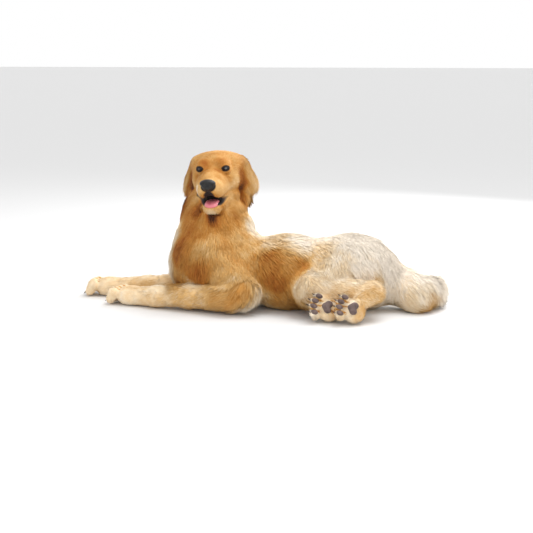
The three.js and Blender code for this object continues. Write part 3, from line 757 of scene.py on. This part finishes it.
def write_attribute(mesh, name, values):
    made = mesh.attributes.new(name, "FLOAT", "POINT")
    made.data.foreach_set("value", np.asarray(values, np.float32))


def painted_toe_groove_shade(p):
    """1 in the grooves between toes, where shade is painted into the fur."""
    line = np.zeros(len(p))
    for paw in paws.values():
        f, s, u = ((p - paw.centre) @ paw.turn / paw.size).T
        on_toes = (f > 12) & (f < 62) & (np.abs(u) < 30)
        for gap in (-1, 0, 1):
            line += on_toes * np.exp(-(((s - gap * TOE_SPREAD) / 2.6) ** 2)) * (np.abs(s) < 30)
    return line


def tone_streaks_and_toe_shade(p, tone):
    streaks = 0.06 * waves(p * np.array([1, 1, 0.45]), 26, 3) + 0.04 * waves(p, 70, 4)
    # The streaks are the coat's own uneven tone; the toe term is painted shade in the grooves.
    return tone + streaks + 0.55 * painted_toe_groove_shade(p)


write_attribute(skin.data, "tone", np.clip(tone_streaks_and_toe_shade(skin_points, skin_value[:, 2]), 0, 1))
write_attribute(skin.data, "bare", bare_skin_and_shade(skin_points))
write_attribute(skin.data, "tip", np.zeros(len(skin_points)))
print("bare points:", int((bare_skin_and_shade(skin_points) > 0.5).sum()))

# %% [markdown]
# Shader maths reads best as expressions, so a small class wraps a socket and gives it the
# operators. One method of a small painter makes any other node.


# %% Shader helpers
class Sum:
    """A shader value that can be added, multiplied and subtracted like a number."""

    def __init__(self, painter, socket):
        self.painter, self.socket = painter, socket

    def _math(self, operation, a, b):
        return self.painter.node("ShaderNodeMath", {"operation": operation}, {0: a, 1: b})

    def __add__(self, other):
        return self._math("ADD", self, other)

    def __radd__(self, other):
        return self._math("ADD", other, self)

    def __sub__(self, other):
        return self._math("SUBTRACT", self, other)

    def __rsub__(self, other):
        return self._math("SUBTRACT", other, self)

    def __mul__(self, other):
        return self._math("MULTIPLY", self, other)

    def __rmul__(self, other):
        return self._math("MULTIPLY", other, self)


class Painter:
    def __init__(self, name, **uniform):
        self.material = bpy.data.materials.new(name)
        self.material.use_nodes = True
        self.tree = self.material.node_tree
        self.shader = self.tree.nodes["Principled BSDF"]
        for socket, value in uniform.items():
            socket = socket.replace("_", " ").title().replace("Ior", "IOR")
            self.shader.inputs[socket].default_value = value

    def node(self, kind, settings=None, inputs=None, output=0):
        made = self.tree.nodes.new(kind)
        for name, value in (settings or {}).items():
            if name == "stops":
                ramp = made.color_ramp
                while len(ramp.elements) < len(value):
                    ramp.elements.new(0.5)
                for element, (at, color) in zip(ramp.elements, value):
                    element.position, element.color = at, color
            else:
                setattr(made, name, value)
        for name, value in (inputs or {}).items():
            self.feed(made.inputs[name], value)
        return Sum(self, made.outputs[output])

    def feed(self, socket, value):
        if isinstance(value, Sum):
            self.tree.links.new(value.socket, socket)
        else:
            socket.default_value = value

    def to(self, name, value):
        self.feed(self.shader.inputs[name], value)

    def attribute(self, name):
        return self.node("ShaderNodeAttribute", {"attribute_name": name}, output=2)

    def here(self):
        return self.node("ShaderNodeTexCoord", output=3)

    def noise(self, scale, detail=3.0):
        inputs = {"Vector": self.here(), "Scale": scale, "Detail": detail}
        return self.node("ShaderNodeTexNoise", None, inputs)

    def cells(self, scale):
        inputs = {"Vector": self.here(), "Scale": scale}
        return self.node("ShaderNodeTexVoronoi", {"feature": "F1"}, inputs)

    def ramp(self, value, stops):
        return self.node("ShaderNodeValToRGB", {"stops": stops}, {"Fac": value})

    def mix(self, factor, a, b):
        inputs = {0: factor, 6: a, 7: b}
        return self.node("ShaderNodeMix", {"data_type": "RGBA"}, inputs, output=2)

    def bump(self, height, strength, distance):
        inputs = {"Height": height, "Strength": strength, "Distance": distance}
        self.to("Normal", self.node("ShaderNodeBump", None, inputs))


def colour(r, g, b):
    """A screen colour, 0 to 255, as the linear colour that a shader takes."""
    parts = [c / 255 for c in (r, g, b)]
    linear = [c / 12.92 if c <= 0.04045 else ((c + 0.055) / 1.055) ** 2.4 for c in parts]
    return (*linear, 1.0)


print("mid grey is", round(colour(128, 128, 128)[0], 3))

# %% [markdown]
# The coat's colours run from cream through gold to deep amber, the way a golden's coat does, and
# each tuft is a little darker at its root than at its tip. The same ramp paints the skin beneath,
# so a parting shows no seam of another colour.

# %% Fur and skin material
GOLD_STOPS = [
    (0.0, colour(253, 241, 224)),
    (0.2, colour(243, 219, 182)),
    (0.42, colour(217, 172, 107)),
    (0.62, colour(196, 135, 60)),
    (0.8, colour(170, 98, 30)),
    (1.0, colour(66, 32, 12)),
]
# Black of lips and eye rims, also used as painted shade under the nose and in the mouth.
BLACK_SKIN_AND_SHADE = colour(30, 25, 25)


def fur_painter(name, is_skin):
    painter = Painter(name, roughness=0.62, specular_ior_level=0.25)
    tone = painter.attribute("tone")
    tip = painter.attribute("tip")
    fine = painter.noise(190.0)
    gold = painter.ramp(tone + (0.5 - tip) * 0.08 + (fine - 0.5) * 0.12, GOLD_STOPS)
    if is_skin:
        gold = painter.mix(painter.attribute("bare"), gold, BLACK_SKIN_AND_SHADE)
        painter.bump(painter.noise(900.0, 2.0), 0.35, 0.0006)
    painter.to("Base Color", gold)
    return painter.material


fur_material = fur_painter("golden fur", False)
skin_material = fur_painter("skin under fur", True)
skin.data.materials.clear()
skin.data.materials.append(skin_material)
print("materials:", [m.name for m in bpy.data.materials if m.name.startswith(("golden", "skin"))])

# %% [markdown]
# Every tuft of fur is a thin closed spike with three sides: a root ring, a ring half way and a
# point. It leaves the skin at a slant and bends over to lie along it. Thousands are written as one
# mesh from arrays, because adding them one by one would take hours. Each shades partly as the skin
# under it does and partly as its own round side does, which keeps the coat soft.


# %% Grow tufts on a piece of skin
def triangles_of(mesh):
    mesh.calc_loop_triangles()
    corner = np.empty(len(mesh.loop_triangles) * 3, np.int32)
    mesh.loop_triangles.foreach_get("vertices", corner)
    loops = np.empty(len(mesh.loop_triangles) * 3, np.int32)
    mesh.loop_triangles.foreach_get("loops", loops)
    return corner.reshape(-1, 3), loops.reshape(-1, 3)


def scatter(mesh, count, rng):
    """Random places on a mesh, with the skin's direction and the unwrapped place at each."""
    p = points_of(mesh)
    corner, loops = triangles_of(mesh)
    a, b, c = (p[corner[:, i]] for i in range(3))
    across = np.cross(b - a, c - a)
    area = np.linalg.norm(across, axis=1)
    pick = np.searchsorted(np.cumsum(area) / area.sum(), rng.random(count))
    u, w = rng.random(count), rng.random(count)
    fold = u + w > 1
    u[fold], w[fold] = 1 - u[fold], 1 - w[fold]
    share = np.stack([1 - u - w, u, w], axis=1)
    normals = np.empty(len(mesh.vertices) * 3, np.float32)
    mesh.vertices.foreach_get("normal", normals)
    normals = normals.reshape(-1, 3)[corner[pick]]
    uv = np.empty(len(mesh.loops) * 2, np.float32)
    mesh.uv_layers.active.data.foreach_get("uv", uv)
    uv = uv.reshape(-1, 2)[loops[pick]]
    place = (p[corner[pick]] * share[..., None]).sum(1)
    up = (normals * share[..., None]).sum(1)
    up /= np.linalg.norm(up, axis=1, keepdims=True) + 1e-9
    return place, up, (uv * share[..., None]).sum(1)


UV_REACH = 0.0015  # half the width of a tuft's patch on the unwrapped skin
RINGS = (0.0, 0.5)  # along the tuft
RING_WIDTH = (1.0, 0.85)
FLATNESS = 0.28  # a tuft's thickness beside its width
LENGTH_RANGE, LIFT_RANGE, WIDTH_RANGE = (0.75, 1.12), (0.75, 1.2), (0.75, 1.25)
STRAY, SWAY, UNEVEN, PATCHY = 0.06, 0.22, 0.16, 0.035  # of lie, lie, length and tone
ROOT_DEPTH, TIP_CLEAR = 0.6, 0.9  # millimetres under and over the skin
TUFT_FLOOR = 0.0008  # metres that the tufts keep above the floor


def unit_rows(rows):
    return rows / (np.linalg.norm(rows, axis=1, keepdims=True) + 1e-9)


print("a tuft has", 3 * len(RINGS) + 1, "points and", 1 + 6 * (len(RINGS) - 1) + 3, "triangles")


# %% Build the tufts' mesh
def tuft_faces(count, rings):
    """Corner numbers of `count` spikes with three sides."""
    faces = [(2, 1, 0)]
    for ring in range(rings - 1):
        low = 3 * ring
        for i in range(3):
            j = (i + 1) % 3
            faces.append((low + i, low + j, low + 3 + j))
            faces.append((low + i, low + 3 + j, low + 3 + i))
    top = 3 * (rings - 1)
    faces += [(top + i, top + (i + 1) % 3, top + 3) for i in range(3)]
    step = 3 * rings + 1
    return (np.array(faces)[None] + (np.arange(count) * step)[:, None, None]).reshape(-1, 3)


def grow(name, ground, count, thick, seed):
    rng = np.random.default_rng(seed)
    place, up, uv = scatter(ground, count, rng)
    p = to_body(place)
    keep = bare_skin_and_shade(p) < 0.35
    place, up, uv, p = place[keep], up[keep], uv[keep], p[keep]
    lie, value, _ = read_map(p)
    n = len(p)
    length = value[:, 0] * rng.uniform(*LENGTH_RANGE, n) * (1 + UNEVEN * waves(p, 40, seed + 1))
    lift = value[:, 1] * rng.uniform(*LIFT_RANGE, n)
    lie = lie + rng.normal(size=(n, 3)) * STRAY
    lie = lie + np.cross(up, lie) * (SWAY * waves(p, 60, seed + 2))[:, None]
    flat = unit_rows(lie - (lie * up).sum(1, keepdims=True) * up)
    side = np.cross(up, flat)
    across = thick * rng.uniform(*WIDTH_RANGE, n)
    phase = rng.uniform(0, 2 * math.pi, n)

    rows, spots, facings = [], [], []
    for t, wide in list(zip(RINGS, RING_WIDTH)) + [(1.0, 0.0)]:
        rise = length * lift * (2.1 * t - 1.4 * t * t) + TIP_CLEAR * t - ROOT_DEPTH * (1 - t)
        run = length * (t - 0.12 * t * t)
        middle = p + flat * run[:, None] + up * rise[:, None]
        tilt = unit_rows(up - flat * (lift * 0.8)[:, None])
        for i in range(3 if wide else 1):
            angle = phase + i * 2 * math.pi / 3
            reach = (across * wide / 2)[:, None]
            ring = side * np.cos(angle)[:, None] + tilt * (FLATNESS * np.sin(angle))[:, None]
            rows.append(middle + ring * reach)
            own = unit_rows(ring) if wide else flat
            facings.append(unit_rows(up * 0.4 + own * 0.6))
            spread = UV_REACH * (1 - 0.9 * t)
            turn = np.stack([np.cos(angle), np.sin(angle)], axis=1)
            spots.append(uv + turn * spread if wide else uv)
    points = np.stack(rows, axis=1).reshape(-1, 3)
    uvs = np.stack(spots, axis=1).reshape(-1, 2)
    faces = tuft_faces(n, len(RINGS))

    q = to_frame(points)
    q[:, 2] = np.maximum(q[:, 2], TUFT_FLOOR + 0.002 * rng.random(len(q)))
    mesh = bpy.data.meshes.new(name)
    mesh.vertices.add(len(q))
    mesh.loops.add(faces.size)
    mesh.polygons.add(len(faces))
    mesh.vertices.foreach_set("co", q.astype(np.float32).ravel())
    mesh.loops.foreach_set("vertex_index", faces.astype(np.int32).ravel())
    mesh.polygons.foreach_set("loop_start", np.arange(0, faces.size, 3, dtype=np.int32))
    mesh.update(calc_edges=True)
    mesh.polygons.foreach_set("use_smooth", np.ones(len(faces), bool))
    mesh.normals_split_custom_set_from_vertices(np.stack(facings, axis=1).reshape(-1, 3))
    layer = mesh.uv_layers.new(name="OFBake")
    uvs = np.clip(uvs, 0.0005, 0.9995)
    layer.data.foreach_set("uv", uvs[faces.ravel()].astype(np.float32).ravel())
    tone = tone_streaks_and_toe_shade(p, value[:, 2]) + rng.normal(size=n) * PATCHY
    each = 3 * len(RINGS) + 1
    write_attribute(mesh, "tone", np.repeat(np.clip(tone, 0, 1), each))
    along = [t for t in RINGS for _ in range(3)] + [1.0]
    write_attribute(mesh, "tip", np.tile(along, n))
    mesh.materials.append(fur_material)
    coat = bpy.data.objects.new(name, mesh)
    bpy.context.collection.objects.link(coat)
    return coat


print("room for", len(groups), "coat pieces:", groups)

# %% [markdown]
# The coat is cut into pieces, one for each part of the body, because a piece should stay a handy
# size. Each piece grows on its own cut of the skin, which is unwrapped by itself, so that every
# tuft has a place of its own on the unwrapped map.

# %% The coat's pieces
FUR_COUNT = {
    "face": 17500, "ear": 10000, "neck": 17500, "chest": 15500, "back": 16500, "rump": 15500,
    "tail": 8500, "foreleg": 10000, "hindleg": 8000,
}
THICK = {
    "face": 1.3, "ear": 1.7, "neck": 2.4, "chest": 2.5, "back": 2.3, "rump": 2.2,
    "tail": 2.6, "foreleg": 1.8, "hindleg": 1.8,
}
first_corner = np.empty(len(skin.data.polygons), np.int32)
skin.data.polygons.foreach_get("loop_start", first_corner)
corner_point = np.empty(len(skin.data.loops), np.int32)
skin.data.loops.foreach_get("vertex_index", corner_point)
skin_face_group = skin_group[corner_point[first_corner]]


def cut_of_skin(group):
    """A copy of the skin's faces that belong to one group, unwrapped."""
    piece = skin.copy()
    piece.data = skin.data.copy()
    bpy.context.collection.objects.link(piece)
    bpy.ops.object.select_all(action="DESELECT")
    piece.select_set(True)
    bpy.context.view_layer.objects.active = piece
    piece.data.polygons.foreach_set("select", skin_face_group != groups.index(group))
    bpy.ops.object.mode_set(mode="EDIT")
    bpy.ops.mesh.delete(type="FACE")
    bpy.ops.mesh.select_all(action="SELECT")
    bpy.ops.uv.smart_project(angle_limit=1.15, island_margin=0.004, scale_to_bounds=True)
    bpy.ops.object.mode_set(mode="OBJECT")
    return piece


coats = []
for number, group in enumerate(groups):
    ground = cut_of_skin(group)
    coats.append(grow(f"coat_{group}", ground.data, FUR_COUNT[group], THICK[group], 20 + number))
    bpy.data.objects.remove(ground)
print("tufts' triangles:", {c.name: len(c.data.polygons) for c in coats})

# %% [markdown]
# The eyes are dark brown with a wide pupil, wet and shining. Each is a ball turned to look out of
# the opening, and how far a point is from the middle of the gaze paints pupil, iris and dark rim.


# %% Eyes
def ball_at(name, centre, radius, segments=40, rings=24):
    bpy.ops.object.select_all(action="DESELECT")
    bpy.ops.mesh.primitive_uv_sphere_add(segments=segments, ring_count=rings, radius=1)
    made = bpy.context.object
    made.name = name
    place_points(made.data, to_frame(points_of(made.data) * radius + centre))
    bpy.ops.object.shade_smooth()
    return made


EYE_STOPS = [
    (0.0, colour(8, 6, 6)),
    (0.30, colour(10, 7, 6)),
    (0.36, colour(84, 48, 25)),
    (0.60, colour(58, 33, 18)),
    (0.70, colour(14, 10, 9)),
    (1.0, colour(24, 16, 13)),
]
eye_painter = Painter("wet eye", roughness=0.08, ior=1.7, coat_weight=1.0, coat_roughness=0.03)
eye_painter.to("Base Color", eye_painter.ramp(eye_painter.attribute("off_gaze"), EYE_STOPS))
eyes = []
for s in SIDES:
    name = "glass_eye_left" if s > 0 else "glass_eye_right"
    eye = ball_at(name, eye_centres[s], EYE_R)
    gaze = HEAD_TURN @ axes(s * 8 + 8, 4) @ np.array([1.0, 0, 0])
    out = unit_rows(to_body(points_of(eye.data)) - eye_centres[s])
    write_attribute(eye.data, "off_gaze", np.arccos(np.clip(out @ gaze, -1, 1)) / 1.2)
    eye.data.materials.append(eye_painter.material)
    eyes.append(eye)
print("eyes:", [e.name for e in eyes])

# %% [markdown]
# The nose is a black leathery pad with two comma-shaped nostrils. It is settled from a ball onto
# its own small field, as the skin was, and a fine pebble of cells makes its leather.


# %% Nose
def settled_ball(name, centre, half, turn, field, voxel):
    made = ball_at(name, (0, 0, 0), 1, 48, 32)
    out = unit_rows(to_body(points_of(made.data)))
    place_points(made.data, to_frame(Egg(centre, half, turn).shape(out)))
    apply_modifier(made, "REMESH", mode="VOXEL", voxel_size=voxel)
    for _ in range(2):
        settle(made, field, 2, 2.5)
        apply_modifier(made, "SMOOTH", factor=0.4, iterations=1)
    settle(made, field, 2, 1.0)
    bpy.ops.object.shade_smooth()
    return made


nose_field = blend(
    5,
    head_egg((130, 0, -26), (12.5, 19.5, 10.5)),
    head_egg((128, 0, -34), (11.5, 13.5, 10.5)),
)
nostrils = blend(
    2,
    *[head_egg((142, s * 8.5, -28), (7, 4.2, 3.6), 0, s * 20) for s in SIDES],
    *[head_egg((137, s * 15, -31), (8, 5, 1.8), 0, s * 35) for s in SIDES],
    head_egg((141, 0, -37), (4, 0.7, 8)),
)
nose = settled_ball("nose_leather", on_head(129, 0, -29), (14, 20, 15), HEAD_TURN,
                    without(2, nose_field, nostrils), 0.0011)
nose_painter = Painter("nose leather", roughness=0.4, specular_ior_level=0.4)
nose_painter.bump(nose_painter.cells(620.0), 0.5, 0.0006)
nose_painter.to("Base Color", nose_painter.ramp(nose_painter.noise(120.0), [
    (0.3, colour(12, 11, 12)), (0.7, colour(28, 25, 26))]))
nose.data.materials.append(nose_painter.material)
print("nose:", len(nose.data.polygons), "faces")

# %% [markdown]
# The tongue lies in the lower jaw and laps over the front teeth. It is broad and flat, with a
# groove down the middle and a rounded tip, and it glistens.

# %% Tongue
tongue_field = without(
    3,
    blend(6, head_egg((76, 0, -74), (34, 16.5, 5.5), 10),
          head_egg((98, 0, -80), (13, 16, 5.5), 24)),
    head_egg((86, 0, -67.5), (40, 0.9, 2.6), 12),
)
tongue = settled_ball("tongue_soft", on_head(82, 0, -76), (40, 17, 9), HEAD_TURN @ axes(0, -12),
                      tongue_field, 0.0014)
tongue_painter = Painter("wet tongue", roughness=0.3, specular_ior_level=0.5)
tongue_painter.bump(tongue_painter.noise(700.0), 0.4, 0.0005)
tongue_painter.to("Base Color", tongue_painter.ramp(tongue_painter.noise(60.0), [
    (0.3, colour(206, 104, 116)), (0.7, colour(228, 134, 142))]))
tongue.data.materials.append(tongue_painter.material)
print("tongue:", len(tongue.data.polygons), "faces")

# %% [markdown]
# A claw is a dark horn that grows from the toe and bends down. One cone is bent for a pattern, and
# each claw is that pattern set on its toe.

# %% Claws
CLAW_LENGTH, CLAW_R = 12.0, 3.2
bpy.ops.object.select_all(action="DESELECT")
bpy.ops.mesh.primitive_cone_add(vertices=14, radius1=1, radius2=0.2, depth=1)
claw = bpy.context.object
bpy.ops.object.mode_set(mode="EDIT")
bpy.ops.mesh.select_all(action="SELECT")
bpy.ops.mesh.subdivide(number_cuts=3)
bpy.ops.object.mode_set(mode="OBJECT")
pattern = points_of(claw.data)
along = pattern[:, 2] + 0.5
bent = np.stack([
    along * CLAW_LENGTH - 4,
    pattern[:, 1] * CLAW_R * 0.85,
    pattern[:, 0] * CLAW_R - 5.0 * along**2,
], axis=1)
claw_painter = Painter("claw horn", roughness=0.38, specular_ior_level=0.5)
claw_painter.to("Base Color", claw_painter.ramp(claw_painter.noise(300.0), [
    (0.3, colour(46, 36, 31)), (0.75, colour(98, 78, 62))]))
claws = []
for leg, paw in paws.items():
    for number, toe in enumerate(TOES):
        horn = claw.copy()
        horn.data = claw.data.copy()
        horn.name = f"horn_{leg}_{number + 1}"
        bpy.context.collection.objects.link(horn)
        tip = paw.toe(toe)[1]
        root = tip + paw.turn @ np.array([TOE_R - 3, toe, -2.0])
        place_points(horn.data, to_frame(bent @ paw.turn.T + root))
        horn.data.materials.append(claw_painter.material)
        horn.data.polygons.foreach_set("use_smooth", np.ones(len(horn.data.polygons), bool))
        claws.append((horn, f"{leg}_claw_{number + 1}"))
bpy.data.objects.remove(claw)
print(len(claws), "claws")

# %% [markdown]
# The soles of the hind feet are seen, so their pads are made with care: four bean-shaped toe pads
# and one heel pad with three lobes, dark, dry and rough.

# %% Pads
pad_painter = Painter("paw pad", roughness=0.72, specular_ior_level=0.3)
pad_painter.bump(pad_painter.cells(520.0), 0.8, 0.0009)
pad_painter.to("Base Color", pad_painter.ramp(pad_painter.noise(90.0), [
    (0.3, colour(74, 60, 58)), (0.7, colour(118, 100, 94))]))


def pad_shapes(paw):
    for toe in TOES:
        reach = 43 - 7 * abs(toe)
        centre = paw.at(reach - 2, toe * TOE_SPREAD, -TOE_R - 7)
        yield Egg(centre, np.array([10.5, 7.0, 5.4]) * paw.size, paw.turn)
    lobe_half = np.array([11, 10, 6.5]) * paw.size
    lobes = ((5, 0), (-3, 9), (-3, -9))
    heel = [Egg(paw.at(f, s, -PAW_R + 2), lobe_half, paw.turn) for f, s in lobes]
    yield blend(4, *heel)


pads = []
for leg in ("left_hind", "right_hind"):
    paw = paws[leg]
    for number, field in enumerate(pad_shapes(paw)):
        heel = number == len(TOES)
        centre = paw.at(0, 0, -PAW_R + 2) if heel else field.centre
        half = np.array([15, 18, 7] if heel else [11, 7, 5.5]) * paw.size
        pad = settled_ball(f"sole_{leg}_{number + 1}", centre, half, paw.turn, field, 0.0015)
        pad.data.materials.append(pad_painter.material)
        pads.append((pad, f"{leg}_pad_{number + 1}"))
print(len(pads), "pads")

# %% [markdown]
# Each piece rides on the one body and stands for its nodes: the skin for all the flesh, and the
# eyes, nose, tongue, claws and pads each for their own.

# %% Ride and replace
flesh = [n for n in nodes if not any(w in n for w in ("claw", "pad", "eye", "nose", "tongue"))]
for piece in [skin, nose, tongue] + coats + eyes + [p for p, _ in claws + pads]:
    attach(piece, "root")
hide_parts(*flesh)
for eye, node in zip(eyes, ("right_eye", "left_eye")):
    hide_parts(node)
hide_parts("nose")
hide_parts("tongue")
for piece, node in claws + pads:
    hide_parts(node)
    "claw" if "claw" in node else "pad"
print("the skin stands for", len(flesh), "nodes")

# %% [markdown]
# A plain pale floor and a bright white room, with a small key light beside the camera that gives
# the eyes their glint, a broad fill, a light above, and one behind that rims the back with white.

# %% Floor, lights and camera
bpy.ops.object.select_all(action="DESELECT")
bpy.ops.mesh.primitive_plane_add(size=160, location=(0, 0, 0))
floor = bpy.context.object
floor.name = "studio_floor"
floor_painter = Painter("pale floor", roughness=0.7)
floor_painter.to("Base Color", colour(226, 226, 226))
floor.data.materials.append(floor_painter.material)


def area_light(name, place, aim, size, power, tint=(1, 1, 1)):
    lamp = bpy.data.lights.new(name, "AREA")
    lamp.size, lamp.energy, lamp.color = size, power, tint
    holder = bpy.data.objects.new(name, lamp)
    bpy.context.collection.objects.link(holder)
    holder.location = place
    holder.rotation_euler = (Vector(aim) - Vector(place)).to_track_quat("-Z", "Y").to_euler()
    return holder


area_light("key", (-0.75, -2.3, 1.35), (0, 0, 0.15), 1.0, 3.5)
area_light("fill", (1.8, -1.6, 1.2), (0.2, 0, 0.15), 2.4, 10)
area_light("top", (0.6, 0.2, 1.7), (0.2, 0, 0.15), 1.2, 19)
area_light("rim", (0.4, 1.8, 1.2), (0, 0, 0.2), 1.6, 28)
world = bpy.data.worlds.new("studio")
bpy.context.scene.world = world
world.use_nodes = True
world.node_tree.nodes["Background"].inputs["Color"].default_value = (1, 1, 1, 1)
world.node_tree.nodes["Background"].inputs["Strength"].default_value = 1.0

camera_data = bpy.data.cameras.new("camera")
camera = bpy.data.objects.new("camera", camera_data)
bpy.context.collection.objects.link(camera)
camera_data.lens, camera_data.sensor_width = 75.4, 36
azimuth, elevation = math.radians(21.858), math.radians(10.501)
level = math.cos(elevation)
look = Vector((-math.sin(azimuth) * level, math.cos(azimuth) * level, -math.sin(elevation)))
camera.location = Vector(to_frame(np.array([1065.0, -2596.1, 608.8])))
camera.rotation_euler = look.to_track_quat("-Z", "Y").to_euler()
bpy.context.scene.camera = camera
bpy.context.scene.view_settings.view_transform = "Standard"
print("camera at", [round(c, 3) for c in camera.location])
